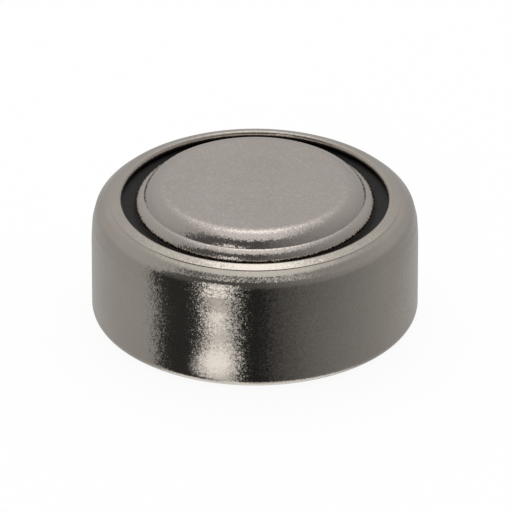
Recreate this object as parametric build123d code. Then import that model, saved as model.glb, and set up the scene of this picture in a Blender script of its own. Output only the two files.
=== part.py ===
from build123d import *
import os
from math import radians, tan

# Alkaline button cell. Every piece is a body of revolution about Z. The cell stands on the flat
# bottom of its positive can, with the origin at the centre of that face and the negative cap on top.
# Sections are drawn as (radius, height) in millimetres and turned about Z.

os.makedirs("parts", exist_ok=True)

# Overall size
cell_diameter = 11.6
cell_height = 5.05

# Positive can: a cup drawn from one sheet, with its rim crimped inwards over the seal.
# Insets are measured inwards from the outer wall, and drops down from the top of the lip.
can_wall = 0.25
can_below_cap = 0.53
lip_inset = 1.03
lip_crease_inset = 0.64
lip_crease_drop = 0.09
slope_inset = 0.46
slope_drop = 0.195
shoulder_inset = 0.15
shoulder_drop = 0.47
crimp_crease_inset = 0.035
crimp_crease_drop = 0.96
crimp_start_drop = 1.52
can_corner_bend = 0.35
crimp_start_bend = 3.0
crimp_crease_bend = 0.5
shoulder_bend = 0.5
slope_bend = 0.4
lip_crease_bend = 0.12
lip_edge_bulge = 0.1

# Negative cap: a stepped cup pressed from one sheet, with its skirt folded back into a hem
cap_wall = 0.2
groove_width = 0.47
crown_rise = 0.455
crown_slope_deg = 60.0
ledge_width = 0.36
ledge_slope_deg = 16.0
sealing_shoulder_drop = 0.745
hem_slit = 0.04
hem_edge_drop = 0.6
crown_edge_bend = 0.81
crown_foot_outer_bend = 0.04
crown_foot_inner_bend = 0.1
ledge_edge_bend = 0.47
cap_foot_outer_bend = 0.15
cap_foot_inner_bend = 0.3
sealing_shoulder_bend = 0.3
hem_slit_bend = 0.4 * hem_slit
hem_edge_bulge = 0.02

# The sharpest bend on the inside of either sheet
least_bend = 0.04

# Seal: a nylon ring squeezed between the can and the cap
seal_wall = 0.31
seal_foot = 0.3
seal_foot_width = 1.1
seal_upstand = 0.35
seal_recess_at_cap = 0.38
seal_recess_at_lip = 0.26

# Cathode: a pressed pellet on the can's floor, with a steel ring round its top edge
pellet_height = 1.5
pellet_chamfer = 0.15
ring_wall = 0.15
ring_skirt = 0.85
ring_flange_width = 1.02
ring_clearance = 0.03
pellet_clearance = 0.02

# Between the electrodes: a barrier film and an absorbent pad, both discs, and the zinc gel above
film_thickness = 0.08
pad_thickness = 0.25
disc_clearance = 0.05
gas_space = 0.45

# Heights and radii that follow from the sizes above
can_radius = cell_diameter / 2
bore_radius = can_radius - can_wall
lip_height = cell_height - can_below_cap
lip_radius = can_radius - lip_inset
cap_radius = lip_radius - groove_width
ledge_height = cell_height - crown_rise
crown_foot_radius = cap_radius - ledge_width
crown_corner_radius = crown_foot_radius - crown_rise / tan(radians(crown_slope_deg))
ledge_corner_height = ledge_height - ledge_width * tan(radians(ledge_slope_deg))
sealing_shoulder_height = ledge_height - sealing_shoulder_drop
skirt_radius = bore_radius - seal_wall - cap_wall - hem_slit
pellet_top = can_wall + pellet_height
seal_bottom = pellet_top + ring_wall
hem_fold_height = seal_bottom + seal_foot + cap_wall
seal_foot_radius = bore_radius - seal_foot_width
ring_radius = bore_radius - ring_clearance
ring_hole_radius = ring_radius - ring_flange_width
pellet_radius = ring_radius - ring_wall - pellet_clearance
disc_radius = min(ring_hole_radius, seal_foot_radius) - disc_clearance
pad_top = pellet_top + film_thickness + pad_thickness
gel_top = cell_height - cap_wall - gas_space

can_outer_bends = [
    can_corner_bend,
    crimp_start_bend,
    crimp_crease_bend,
    shoulder_bend,
    slope_bend,
    lip_crease_bend,
]
can_inner_bends = [max(bend - can_wall, least_bend) for bend in can_outer_bends]

can_corners = [
    (0, 0),
    (can_radius, 0),
    (can_radius, lip_height - crimp_start_drop),
    (can_radius - crimp_crease_inset, lip_height - crimp_crease_drop),
    (can_radius - shoulder_inset, lip_height - shoulder_drop),
    (can_radius - slope_inset, lip_height - slope_drop),
    (can_radius - lip_crease_inset, lip_height - lip_crease_drop),
    (lip_radius + lip_edge_bulge, lip_height),
]

cap_outer_bends = [
    crown_edge_bend,
    crown_foot_outer_bend,
    ledge_edge_bend,
    cap_foot_outer_bend,
    sealing_shoulder_bend,
    hem_slit_bend,
    hem_slit_bend,
]
cap_inner_bends = [
    max(crown_edge_bend - cap_wall, least_bend),
    crown_foot_inner_bend,
    max(ledge_edge_bend - cap_wall, least_bend),
    cap_foot_inner_bend,
    max(sealing_shoulder_bend - cap_wall, least_bend),
    cap_wall,
    cap_wall,
]

cap_corners = [
    (0, cell_height),
    (crown_corner_radius, cell_height),
    (crown_foot_radius, ledge_height),
    (cap_radius, ledge_corner_height),
    (cap_radius, sealing_shoulder_height),
    (skirt_radius, sealing_shoulder_height),
    (skirt_radius, hem_fold_height),
    (skirt_radius + hem_slit, hem_fold_height),
    (skirt_radius + hem_slit, sealing_shoulder_height - hem_edge_drop),
]


def parallel(corners, distance):
    """The corners of an open outline moved `distance` to the left of its direction of travel.

    Each inner corner moves along the mitre of its two runs, and each end squarely to its run.
    """
    points = [Vector(*corner) for corner in corners]
    lefts = [(end - start).normalized().rotate(Axis.Z, 90) for start, end in zip(points, points[1:])]
    before = [lefts[0]] + lefts
    after = lefts + [lefts[-1]]
    moved = []
    for point, left_in, left_out in zip(points, before, after):
        mitre = (left_in + left_out) / (1 + left_in.dot(left_out))
        moved.append(point + mitre * distance)
    return [(point.X, point.Y) for point in moved]


def sheet_section(corners, outer_bends, inner_bends, wall, edge_bulge):
    """Section of one bent sheet from the axis to its free edge.

    Its outer face runs through `corners`, and the metal lies `wall` to the left of it. The free edge
    is rounded, and stands `edge_bulge` past the last corner.
    """
    inner_corners = parallel(corners, wall)
    outer_face = FilletPolyline(*corners, radius=outer_bends)
    inner_face = FilletPolyline(*inner_corners, radius=inner_bends)
    free_edge = SagittaArc(inner_corners[-1], corners[-1], edge_bulge)
    on_axis = Line(corners[0], inner_corners[0])
    return make_face(outer_face.edges() + inner_face.edges() + [free_edge, on_axis])


def area(*corners):
    """Section with straight sides through `corners`."""
    return make_face(Polyline(*corners, close=True))


def disc_section(radius, bottom, top):
    """Section of a plain disc."""
    return area((0, bottom), (radius, bottom), (radius, top), (0, top))


def turned(section):
    """The solid that a section makes when it turns once about Z."""
    return revolve(Plane.XZ * section, Axis.Z)


def can_section():
    """Cup with a flat bottom, a straight wall and a rim crimped in over the seal."""
    return sheet_section(can_corners, can_outer_bends, can_inner_bends, can_wall, lip_edge_bulge)


def cap_section():
    """Flat crown, rounded ledge, wall, sealing shoulder, and a skirt folded outwards and up."""
    return sheet_section(cap_corners, cap_outer_bends, cap_inner_bends, -cap_wall, -hem_edge_bulge)


def seal_section():
    """All the room between the can and the cap, with a foot and an upstand round the hem.

    The blank's sides run inside the two sheets, which then cut it to their own shape. The slit of
    the folded hem stays empty.
    """
    can_middle = parallel(can_corners, can_wall / 2)
    cap_middle = parallel(cap_corners, -cap_wall / 2)
    upstand_top = seal_bottom + seal_foot + seal_upstand
    blank = area(
        (seal_foot_radius, seal_bottom),
        (can_middle[1][0], seal_bottom),
        *can_middle[2:],
        (lip_radius + 2 * lip_edge_bulge, lip_height - seal_recess_at_lip),
        (cap_middle[4][0], lip_height - seal_recess_at_cap),
        cap_middle[4],
        cap_middle[5],
        (cap_middle[5][0], upstand_top),
        (seal_foot_radius, upstand_top),
    )
    slit = area(cap_corners[6], cap_corners[7], cap_corners[8], (skirt_radius, cap_corners[8][1]))
    return blank - slit - can_section() - cap_section()


def pellet_section():
    """Thick disc on the can's floor, bevelled to clear the can's corner and cut back for the ring."""
    return area(
        (0, can_wall),
        (ring_radius - pellet_chamfer, can_wall),
        (ring_radius, can_wall + pellet_chamfer),
        (ring_radius, seal_bottom - ring_skirt - pellet_clearance),
        (pellet_radius, seal_bottom - ring_skirt - pellet_clearance),
        (pellet_radius, pellet_top),
        (0, pellet_top),
    )


def ring_section():
    """Angle ring: a flange on the pellet, under the seal's foot, and a skirt down its side."""
    return area(
        (ring_hole_radius, pellet_top),
        (ring_radius - ring_wall, pellet_top),
        (ring_radius - ring_wall, seal_bottom - ring_skirt),
        (ring_radius, seal_bottom - ring_skirt),
        (ring_radius, seal_bottom),
        (ring_hole_radius, seal_bottom),
    )


def gel_section():
    """The gel that fills the cap from the pad up to the space left for gas."""
    cap_middle = parallel(cap_corners, -cap_wall / 2)
    blank = area(
        (0, pad_top),
        (seal_foot_radius, pad_top),
        (seal_foot_radius, seal_bottom + seal_foot),
        (cap_middle[5][0], seal_bottom + seal_foot),
        cap_middle[5],
        cap_middle[4],
        (cap_middle[4][0], gel_top),
        (0, gel_top),
    )
    return blank - cap_section() - seal_section()


sections = {
    "positive_can": can_section(),
    "negative_cap": cap_section(),
    "sealing_gasket": seal_section(),
    "cathode_pellet": pellet_section(),
    "cathode_ring": ring_section(),
    "barrier_film": disc_section(disc_radius, pellet_top, pellet_top + film_thickness),
    "absorbent_pad": disc_section(disc_radius, pellet_top + film_thickness, pad_top),
    "zinc_gel": gel_section(),
}

for name, section in sections.items():
    solid = turned(section)
    solid.label = name
    export_step(solid, f"parts/{name}.step")
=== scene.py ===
import math

import bpy
import numpy as np
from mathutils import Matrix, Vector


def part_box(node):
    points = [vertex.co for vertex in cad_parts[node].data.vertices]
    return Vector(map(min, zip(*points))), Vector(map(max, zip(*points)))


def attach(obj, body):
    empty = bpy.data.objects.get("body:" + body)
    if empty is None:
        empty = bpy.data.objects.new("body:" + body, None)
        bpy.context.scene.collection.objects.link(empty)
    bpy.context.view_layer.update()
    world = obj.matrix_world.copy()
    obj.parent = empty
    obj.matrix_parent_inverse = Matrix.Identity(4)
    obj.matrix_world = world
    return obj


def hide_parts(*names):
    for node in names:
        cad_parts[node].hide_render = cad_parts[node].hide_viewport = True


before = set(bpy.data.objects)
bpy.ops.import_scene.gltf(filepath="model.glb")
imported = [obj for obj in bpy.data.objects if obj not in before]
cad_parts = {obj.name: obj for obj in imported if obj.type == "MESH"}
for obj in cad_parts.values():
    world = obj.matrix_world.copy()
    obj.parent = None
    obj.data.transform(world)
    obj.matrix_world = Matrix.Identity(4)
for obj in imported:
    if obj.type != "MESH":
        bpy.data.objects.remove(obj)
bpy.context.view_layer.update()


# --- Positive can -----------------------------------------------------------------------------
# The outer cup, deep drawn from nickel-plated steel sheet. Once the cell is filled, its rim is
# crimped inwards over the seal, which leaves a shoulder, a slope, a fine coined step and a lip.

MM = 0.001
can_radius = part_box("positive_can")[1].x / MM
lip_height = 4.52
can_wall = 0.25

# Outer face of the sheet, from the axis outwards and up: insets from the wall, drops from the lip
can_corners = [
    (0, 0),
    (can_radius, 0),
    (can_radius, lip_height - 1.52),
    (can_radius - 0.035, lip_height - 0.96),
    (can_radius - 0.15, lip_height - 0.47),
    (can_radius - 0.46, lip_height - 0.195),
    (can_radius - 0.625, lip_height - 0.115),
    (can_radius - 0.645, lip_height - 0.086),
    (can_radius - 0.93, lip_height),
]
can_outer_bends = [0.35, 3.0, 0.5, 0.5, 0.4, 0.02, 0.02]
can_inner_bends = [0.10, 2.75, 0.25, 0.25, 0.15, 0.02, 0.02]
lip_edge_bulge = 0.1


def parallel(corners, distance):
    """Corners of an outline moved `distance` to its left.

    Each corner moves along the mitre of its two runs: (n1 + n2) / (1 + n1.n2) times the distance,
    where n1 and n2 are the unit normals to the left of the runs.
    """
    points = np.array(corners, float)
    runs = np.diff(points, axis=0)
    runs /= np.linalg.norm(runs, axis=1)[:, None]
    lefts = np.stack([-runs[:, 1], runs[:, 0]], 1)
    before = np.vstack([lefts[:1], lefts])
    after = np.vstack([lefts, lefts[-1:]])
    mitres = (before + after) / (1 + (before * after).sum(1))[:, None]
    return points + distance * mitres


def bent(corners, bends, chord=0.03, run_step=0.4, tight=0.004):
    """Points in mm of an outline whose straight runs are joined by tangent arcs.

    A bend of radius r that turns by angle a starts r tan(a / 2) before its corner, and its points lie
    on centre + r (cos, sin). A run has points `run_step` apart, and one `tight` from each end, which
    keep the shading of a flat face flat up to the bend.
    """
    corners = np.array(corners, float)
    pieces = []
    last = corners[0]
    for corner, before, after, radius in zip(corners[1:-1], corners[:-2], corners[2:], bends):
        into = (corner - before) / np.linalg.norm(corner - before)
        out = (after - corner) / np.linalg.norm(after - corner)
        turn = math.atan2(into[0] * out[1] - into[1] * out[0], into @ out)
        start = corner - into * radius * math.tan(abs(turn) / 2)
        centre = start + np.array([-into[1], into[0]]) * math.copysign(radius, turn)
        arm = start - centre
        angles = np.linspace(0, turn, max(5, math.ceil(radius * abs(turn) / chord)) + 1)
        cosines, sines = np.cos(angles), np.sin(angles)
        arc = centre + np.stack([arm[0] * cosines - arm[1] * sines, arm[0] * sines + arm[1] * cosines], 1)
        pieces += [straight(last, start, run_step, tight), arc]
        last = arc[-1]
    pieces.append(straight(last, corners[-1], run_step, tight))
    outline = np.vstack(pieces)
    steps = np.linalg.norm(np.diff(outline, axis=0), axis=1)
    return outline[np.concatenate([[True], steps > 1e-6])]


def straight(start, end, run_step, tight):
    """Points of a straight run: start + share (end - start), with the shares closer at both ends."""
    length = np.linalg.norm(end - start)
    if length < 3 * tight:
        return np.array([start, end])
    middle = np.linspace(tight, length - tight, max(2, math.ceil(length / run_step)))
    shares = np.concatenate([[0], middle, [length]]) / length
    return start + shares[:, None] * (end - start)


def bulged(start, end, bulge, count=9):
    """Points of the arc from start to end that stands `bulge` out to the right of the straight line.

    With half the line's length h, the arc's radius is (h h + b b) / 2 b. Both are negative where the
    arc stands out to the left. It runs through mid - (radius - b) right + radius cos right and
    |radius| sin along.
    """
    half = np.linalg.norm(end - start) / 2
    radius = (half**2 + bulge**2) / (2 * bulge)
    along = (end - start) / (2 * half)
    right = np.array([along[1], -along[0]])
    sweep = math.atan2(half, abs(radius - bulge))
    angles = np.linspace(-sweep, sweep, count)[:, None]
    centre = (start + end) / 2 - right * (radius - bulge)
    return centre + abs(radius) * np.sin(angles) * along + radius * np.cos(angles) * right


def turned(name, outline, segments=384):
    """Mesh of an outline (radius, height) in mm turned once about Z.

    The point (r, z) at angle a is (r cos a, r sin a, z). Both ends of the outline are on the axis:
    each becomes one vertex, with a fan of triangles round it.
    """
    angles = np.linspace(0, 2 * math.pi, segments, endpoint=False)
    radii, heights = outline[1:-1, 0] * MM, outline[1:-1, 1] * MM
    rings = np.stack(
        [
            np.outer(radii, np.cos(angles)),
            np.outer(radii, np.sin(angles)),
            np.repeat(heights[:, None], segments, 1),
        ],
        2,
    ).reshape(-1, 3)
    poles = np.array([[0, 0, outline[0, 1] * MM], [0, 0, outline[-1, 1] * MM]])
    around = np.arange(segments)
    onward = (around + 1) % segments
    row = np.arange(len(radii) - 1)[:, None] * segments
    quads = np.stack([row + around, row + onward, row + segments + onward, row + segments + around], 2)
    first_pole, last_pole = len(rings), len(rings) + 1
    top_row = (len(radii) - 1) * segments
    first_fan = np.stack([np.full(segments, first_pole), onward, around], 1)
    last_fan = np.stack([np.full(segments, last_pole), top_row + around, top_row + onward], 1)
    faces = quads.reshape(-1, 4).tolist() + first_fan.tolist() + last_fan.tolist()
    mesh = bpy.data.meshes.new(name)
    mesh.from_pydata(np.vstack([rings, poles]).tolist(), [], faces)
    mesh.shade_smooth()
    piece = bpy.data.objects.new(name, mesh)
    bpy.context.scene.collection.objects.link(piece)
    return piece


def sheet_outline(corners, outer_bends, inner_bends, wall, edge_bulge):
    """Closed section of a bent sheet: out along its outer face, round its free edge, and back."""
    outer_face = bent(corners, outer_bends)
    inner_face = bent(parallel(corners, wall), inner_bends)
    free_edge = bulged(outer_face[-1], inner_face[-1], edge_bulge)
    return np.vstack([outer_face, free_edge[1:-1], inner_face[::-1]])


def linear(hex_colour):
    """Linear RGBA of an sRGB hex value: c / 12.92 up to 0.04045, then ((c + 0.055) / 1.055) ^ 2.4."""
    values = [int(hex_colour[place:place + 2], 16) / 255 for place in (1, 3, 5)]
    return [v / 12.92 if v <= 0.04045 else ((v + 0.055) / 1.055) ** 2.4 for v in values] + [1.0]


def add(tree, kind, inputs=None, stops=None, **settings):
    """Adds one node. `settings` are its own properties, `inputs` a value or a link for each socket,
    and `stops` the (position, colour) pairs of a colour ramp."""
    made = tree.nodes.new(kind)
    for name, value in settings.items():
        setattr(made, name, value)
    for place, (position, colour) in enumerate(stops or []):
        elements = made.color_ramp.elements
        element = elements[place] if place < 2 else elements.new(position)
        element.position, element.color = position, colour
    for name, value in (inputs or {}).items():
        if isinstance(value, bpy.types.NodeSocket):
            tree.links.new(value, made.inputs[name])
        else:
            made.inputs[name].default_value = value
    return made


def new_material(name):
    """A material with nodes, and nothing in it but its output."""
    material = bpy.data.materials.new(name)
    material.use_nodes = True
    material.node_tree.nodes.clear()
    return material, material.node_tree, add(material.node_tree, "ShaderNodeOutputMaterial")


def per_mm(size):
    """Scale of a noise whose grains are `size` mm across, on Object coordinates in metres."""
    return 1 / (size * MM)


def leaned(tree, normal, place, grain_mm, lean):
    """A normal leaned at random, as it is on a surface of fine pits.

    The normal plus `lean` times a noise vector centred on zero, made a unit vector again.
    """
    grain = add(
        tree,
        "ShaderNodeTexNoise",
        {"Vector": place, "Scale": per_mm(grain_mm), "Detail": 1.0, "Roughness": 0.5},
    )
    centred = add(
        tree,
        "ShaderNodeVectorMath",
        {0: grain.outputs["Color"], 1: (0.5, 0.5, 0.5)},
        operation="SUBTRACT",
    )
    shift = add(tree, "ShaderNodeVectorMath", {0: centred.outputs[0], "Scale": lean}, operation="SCALE")
    total = add(tree, "ShaderNodeVectorMath", {0: normal, 1: shift.outputs[0]}, operation="ADD")
    return add(tree, "ShaderNodeVectorMath", {0: total.outputs[0]}, operation="NORMALIZE").outputs[0]


def satin_nickel(name, light_hex, deep_hex, fine_lean, coarse_lean):
    """Nickel plating over drawn steel, tumbled to a satin finish.

    A metal with soft but clear reflections. The fine pits of tumbling break every edge between light
    and dark into sparkling grains, and the plating's tone drifts a little from place to place. Real
    pits are near 0.01 mm: they are drawn at 0.05 and 0.12 mm, as coarse as they need to show.
    """
    material, tree, output = new_material(name)
    place = add(tree, "ShaderNodeTexCoord").outputs["Object"]
    drift = add(tree, "ShaderNodeTexNoise", {"Vector": place, "Scale": per_mm(2.5), "Detail": 3.0})
    tone = add(
        tree,
        "ShaderNodeValToRGB",
        {"Fac": drift.outputs["Fac"]},
        [(0.3, linear(deep_hex)), (0.7, linear(light_hex))],
    )
    gloss = add(
        tree,
        "ShaderNodeMapRange",
        {"Value": drift.outputs["Fac"], "From Min": 0.3, "From Max": 0.7, "To Min": 0.13, "To Max": 0.17},
    )
    normal = add(tree, "ShaderNodeNewGeometry").outputs["Normal"]
    normal = leaned(tree, normal, place, 0.12, coarse_lean)
    normal = leaned(tree, normal, place, 0.05, fine_lean)
    metal = add(
        tree,
        "ShaderNodeBsdfPrincipled",
        {
            "Base Color": tone.outputs["Color"],
            "Metallic": 1.0,
            "Roughness": gloss.outputs["Result"],
            "Normal": normal,
        },
    )
    tree.links.new(metal.outputs["BSDF"], output.inputs["Surface"])
    return material


can = turned(
    "can_shell",
    sheet_outline(can_corners, can_outer_bends, can_inner_bends, can_wall, lip_edge_bulge),
)
can.data.materials.append(satin_nickel("tumbled_nickel_plating", "#CEC6BC", "#C6BEB4", 0.28, 0.12))
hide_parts("positive_can")
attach(can, "root")


# --- Negative cap -----------------------------------------------------------------------------
# The stepped lid, pressed from a clad nickel, steel and copper sheet: a flat crown with a rolled
# edge, a rounded ledge and a short wall. Under the lip it spreads into a shoulder and a folded skirt.

cap_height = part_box("negative_cap")[1].z / MM
cap_wall = 0.2
cap_radius = can_radius - 1.5
crown_rise = 0.455
ledge_width = 0.36
ledge_height = cap_height - crown_rise
ledge_corner_height = ledge_height - ledge_width * math.tan(math.radians(16))
crown_foot_radius = cap_radius - ledge_width
crown_corner_radius = crown_foot_radius - crown_rise / math.tan(math.radians(60))
shoulder_height = ledge_height - 0.745
skirt_radius = can_radius - 0.8
hem_slit = 0.04
hem_fold_height = 2.4

# Outer face of the sheet, from the axis outwards and down, then up again behind the fold
cap_corners = [
    (0, cap_height),
    (crown_corner_radius, cap_height),
    (crown_foot_radius, ledge_height),
    (cap_radius, ledge_corner_height),
    (cap_radius, shoulder_height),
    (skirt_radius, shoulder_height),
    (skirt_radius, hem_fold_height),
    (skirt_radius + hem_slit, hem_fold_height),
    (skirt_radius + hem_slit, shoulder_height - 0.6),
]
cap_outer_bends = [0.81, 0.04, 0.47, 0.15, 0.3, 0.016, 0.016]
cap_inner_bends = [0.61, 0.1, 0.27, 0.3, 0.1, 0.2, 0.2]

# The outline is turned round, because it runs down and the mesh's faces point out where it runs up
cap_outline = sheet_outline(cap_corners, cap_outer_bends, cap_inner_bends, -cap_wall, -0.02)
cap = turned("cap_shell", cap_outline[::-1])
cap.data.materials.append(satin_nickel("pressed_nickel_cladding", "#D0C7C0", "#CAC1BA", 0.42, 0.14))
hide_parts("negative_cap")
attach(cap, "root")


# --- Sealing gasket ---------------------------------------------------------------------------
# A ring moulded in dark nylon and squeezed between the can and the cap. Only its top shows, at the
# bottom of the groove, where the crimp has left it slightly uneven.

def moulded_nylon():
    """Dark nylon: a low, waxy sheen over a skin that the crimping has puckered and rubbed."""
    material, tree, output = new_material("moulded_nylon")
    place = add(tree, "ShaderNodeTexCoord").outputs["Object"]
    pucker = add(tree, "ShaderNodeTexNoise", {"Vector": place, "Scale": per_mm(0.35), "Detail": 4.0})
    tone = add(
        tree,
        "ShaderNodeValToRGB",
        {"Fac": pucker.outputs["Fac"]},
        [(0.35, linear("#080807")), (0.75, linear("#1B1817"))],
    )
    relief = add(
        tree,
        "ShaderNodeBump",
        {"Height": pucker.outputs["Fac"], "Strength": 0.6, "Distance": 0.03 * MM},
    )
    plastic = add(
        tree,
        "ShaderNodeBsdfPrincipled",
        {
            "Base Color": tone.outputs["Color"],
            "Roughness": 0.45,
            "IOR": 1.53,
            "Specular IOR Level": 0.3,
            "Normal": relief.outputs["Normal"],
        },
    )
    tree.links.new(plastic.outputs["BSDF"], output.inputs["Surface"])
    return material


def dress(node, material):
    """Puts one material on every slot of a CAD node."""
    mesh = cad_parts[node].data
    mesh.materials.clear()
    mesh.materials.append(material)


dress("sealing_gasket", moulded_nylon())


# --- Inside the cell --------------------------------------------------------------------------
# Sealed in, from the bottom up: the pressed cathode pellet with its steel ring, the barrier film,
# the absorbent pad and the zinc gel. Each has the finish it would show on a bench.

def grained(name, dark_hex, light_hex, grain_mm, grain_height_mm, roughness, metallic=0.0):
    """A surface of packed grains: two tones and a relief that follow one noise of the grain's size."""
    material, tree, output = new_material(name)
    place = add(tree, "ShaderNodeTexCoord").outputs["Object"]
    grain = add(
        tree,
        "ShaderNodeTexNoise",
        {"Vector": place, "Scale": per_mm(grain_mm), "Detail": 4.0, "Roughness": 0.6},
    )
    tone = add(
        tree,
        "ShaderNodeValToRGB",
        {"Fac": grain.outputs["Fac"]},
        [(0.35, linear(dark_hex)), (0.65, linear(light_hex))],
    )
    relief = add(
        tree,
        "ShaderNodeBump",
        {"Height": grain.outputs["Fac"], "Strength": 0.8, "Distance": grain_height_mm * MM},
    )
    surface = add(
        tree,
        "ShaderNodeBsdfPrincipled",
        {
            "Base Color": tone.outputs["Color"],
            "Metallic": metallic,
            "Roughness": roughness,
            "Normal": relief.outputs["Normal"],
        },
    )
    tree.links.new(surface.outputs["BSDF"], output.inputs["Surface"])
    return material


dress("cathode_pellet", grained("pressed_cathode_mix", "#17171A", "#34343A", 0.12, 0.02, 0.6))
dress("cathode_ring", grained("plain_pressed_steel", "#A9A7A4", "#BDBBB8", 0.08, 0.004, 0.3, 1.0))
dress("barrier_film", grained("cellulose_film", "#D9CFA6", "#E6DDBB", 0.4, 0.01, 0.35))
dress("absorbent_pad", grained("nonwoven_fibre", "#D5D2C8", "#F0EEE8", 0.08, 0.03, 0.9))
dress("zinc_gel", grained("gelled_zinc_powder", "#5A5C60", "#9A9CA0", 0.15, 0.04, 0.4, 0.6))


# --- Floor ------------------------------------------------------------------------------------
# A plain white table, which keeps a soft shadow. The metal does not mirror the table itself, but
# the surroundings below.

def disc(name, radius, height, segments=128):
    """Flat disc about Z, in metres: the points (r cos a, r sin a) at one height."""
    angles = np.linspace(0, 2 * math.pi, segments, endpoint=False)
    points = np.stack([radius * np.cos(angles), radius * np.sin(angles), np.full(segments, height)], 1)
    mesh = bpy.data.meshes.new(name)
    mesh.from_pydata(points.tolist(), [], [list(range(segments))])
    piece = bpy.data.objects.new(name, mesh)
    bpy.context.scene.collection.objects.link(piece)
    return piece


table_reach = 2.0
floor = disc("table", table_reach, -0.00001)
material, tree, output = new_material("white_table")
rays = add(tree, "ShaderNodeLightPath").outputs
seen = add(tree, "ShaderNodeMath", {0: rays["Is Camera Ray"], 1: rays["Is Glossy Ray"]}, operation="MAXIMUM")
seen = add(tree, "ShaderNodeMath", {0: seen.outputs[0], 1: rays["Is Transmission Ray"]}, operation="MAXIMUM")
share = add(tree, "ShaderNodeMath", {0: seen.outputs[0], 1: 0.8}, operation="MULTIPLY")
lit = add(tree, "ShaderNodeBsdfDiffuse", {"Color": linear("#F2F2F2")})
glow = add(tree, "ShaderNodeEmission", {"Color": linear("#FFFFFF"), "Strength": 1.14})
both = add(tree, "ShaderNodeMixShader", {0: share.outputs[0], 1: lit.outputs[0], 2: glow.outputs[0]})
tree.links.new(both.outputs[0], output.inputs["Surface"])
floor.data.materials.append(material)
floor.visible_glossy = False


# --- Studio light -----------------------------------------------------------------------------
# A large soft box hangs over the back of the table. Around the table stand a grey wall at the left
# and back, a black gap, a narrow light strip at the front left, and a wall at the right that fades
# towards a black front. Underneath, the surroundings are white.

def grey(level):
    """Grey of one level, as a colour ramp's colour."""
    return [level, level, level, 1.0]


def direction_of(azimuth, elevation):
    """Unit vector of a direction in degrees, 0 azimuth at the front and positive to the right."""
    a, e = math.radians(azimuth), math.radians(elevation)
    return (math.sin(a) * math.cos(e), -math.cos(a) * math.cos(e), math.sin(e))


def eased(tree, value, gone, full, level=1.0):
    """Soft edge: 0 where the value is `gone`, `level` where it is `full`, and eased between them."""
    return add(
        tree,
        "ShaderNodeMapRange",
        {"Value": value, "From Min": gone, "From Max": full, "To Max": level},
        interpolation_type="SMOOTHSTEP",
    ).outputs["Result"]


def spot(tree, direction, centre, core, edge, level):
    """A round soft light: full inside `core` degrees of its centre, gone at `edge` degrees."""
    toward = add(tree, "ShaderNodeVectorMath", {0: direction, 1: centre}, operation="DOT_PRODUCT")
    gone, full = math.cos(math.radians(edge)), math.cos(math.radians(core))
    return eased(tree, toward.outputs["Value"], gone, full, level)


def combined(tree, operation, *values):
    """One number from several, by the same operation in turn."""
    result = values[0]
    for value in values[1:]:
        result = add(tree, "ShaderNodeMath", {0: result, 1: value}, operation=operation).outputs[0]
    return result


def wall_light(tree, direction, levels):
    """Level of the walls round the table: a ramp over the azimuth atan2(x, -y), in degrees."""
    parts = add(tree, "ShaderNodeSeparateXYZ", {0: direction}).outputs
    front = combined(tree, "MULTIPLY", parts["Y"], -1.0)
    azimuth = combined(tree, "ARCTAN2", parts["X"], front)
    turn = add(tree, "ShaderNodeMapRange", {"Value": azimuth, "From Min": -math.pi, "From Max": math.pi})
    stops = [((degrees + 180) / 360, grey(level)) for degrees, level in levels]
    return add(tree, "ShaderNodeValToRGB", {"Fac": turn.outputs["Result"]}, stops).outputs["Color"]


wall_levels = [
    (-180, 0.47), (-150, 0.46), (-77, 0.37), (-70, 0.035), (4, 0.016), (14, 0.07), (40, 0.17),
    (80, 0.28), (120, 0.38), (150, 0.44), (180, 0.47),
]
strip_levels = [(-180, 0.0), (-40, 0.0), (-32, 0.66), (-18, 0.66), (-10, 0.0), (180, 0.0)]

world = bpy.data.worlds.new("studio")
bpy.context.scene.world = world
world.use_nodes = True
tree = world.node_tree
tree.nodes.clear()
output = add(tree, "ShaderNodeOutputWorld")
direction = add(tree, "ShaderNodeTexCoord").outputs["Generated"]
parts = add(tree, "ShaderNodeSeparateXYZ", {0: direction}).outputs
height = combined(tree, "MAXIMUM", parts["Z"], 0.01)
across = combined(tree, "ABSOLUTE", combined(tree, "DIVIDE", parts["X"], height), 0.0)
back = combined(tree, "DIVIDE", parts["Y"], height)
box = combined(
    tree,
    "MULTIPLY",
    eased(tree, across, 0.62, 0.18),
    eased(tree, back, 1.75, 0.7),
    eased(tree, back, -0.46, -0.3),
)
strip = combined(
    tree,
    "MULTIPLY",
    wall_light(tree, direction, strip_levels),
    eased(tree, parts["Z"], 0.64, 0.3),
)
upper = eased(tree, parts["Z"], 0.05, 0.5, 0.07)
walls = combined(tree, "ADD", wall_light(tree, direction, wall_levels), strip, upper)
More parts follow.
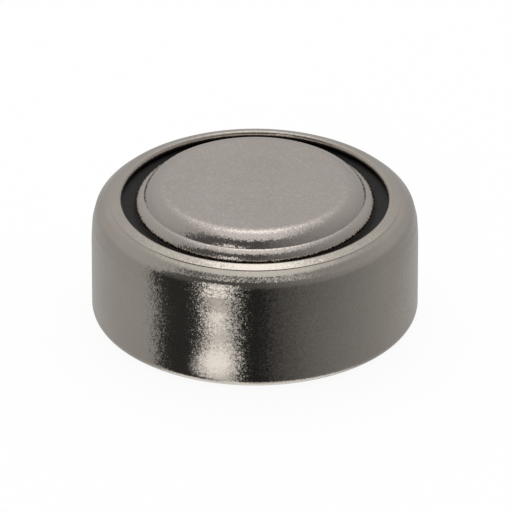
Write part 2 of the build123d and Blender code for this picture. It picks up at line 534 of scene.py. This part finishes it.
level = add(tree, "ShaderNodeMix", {0: box, 2: walls, 3: 0.82}, data_type="FLOAT").outputs[0]
level = combined(
    tree,
    "ADD",
    level,
    spot(tree, direction, direction_of(180, 63), 3, 12, 0.85),
    spot(tree, direction, direction_of(-26, 28), 3, 11, 0.75),
    spot(tree, direction, direction_of(-26, 4), 3, 12, 0.8),
    eased(tree, parts["Z"], -0.8, -0.92, 0.62),
)
sky = add(tree, "ShaderNodeBackground", {"Color": level, "Strength": 1.0})
tree.links.new(sky.outputs[0], output.inputs["Surface"])

# Two small glints on the table in front of the cell, which only the metal mirrors
glints = disc("glint_card", table_reach, -0.000005)
material, tree, output = new_material("glint_card")
place = add(tree, "ShaderNodeTexCoord").outputs["Object"]
masks = []
for across_mm, forward_mm in ((-2.16, 7.25), (-3.64, 10.2)):
    centre = (across_mm * MM, -forward_mm * MM, 0)
    reach = add(tree, "ShaderNodeVectorMath", {0: place, 1: centre}, operation="DISTANCE")
    masks.append(eased(tree, reach.outputs["Value"], 1.7 * MM, 0.3 * MM))
mask = combined(tree, "MAXIMUM", *masks)
clear = add(tree, "ShaderNodeBsdfTransparent")
glow = add(tree, "ShaderNodeEmission", {"Strength": 1.35})
both = add(tree, "ShaderNodeMixShader", {0: mask, 1: clear.outputs[0], 2: glow.outputs[0]})
tree.links.new(both.outputs[0], output.inputs["Surface"])
glints.data.materials.append(material)
glints.visible_camera = False
glints.visible_diffuse = False
glints.visible_transmission = False
glints.visible_shadow = False


# --- Camera -----------------------------------------------------------------------------------
# A long lens, almost without perspective, from 29.5 degrees above.

elevation = math.radians(29.5)
distance = 0.3828
eye = bpy.data.cameras.new("camera")
eye.lens = 757.0
eye.clip_start = 0.01
camera = bpy.data.objects.new("camera", eye)
bpy.context.scene.collection.objects.link(camera)
bpy.context.scene.camera = camera
aim = np.array([0.039, 0.030, 2.083]) * MM
camera.location = aim + distance * np.array([0, -math.cos(elevation), math.sin(elevation)])
camera.rotation_euler = (math.pi / 2 - elevation, 0, 0)
bpy.context.scene.view_settings.view_transform = "Standard"
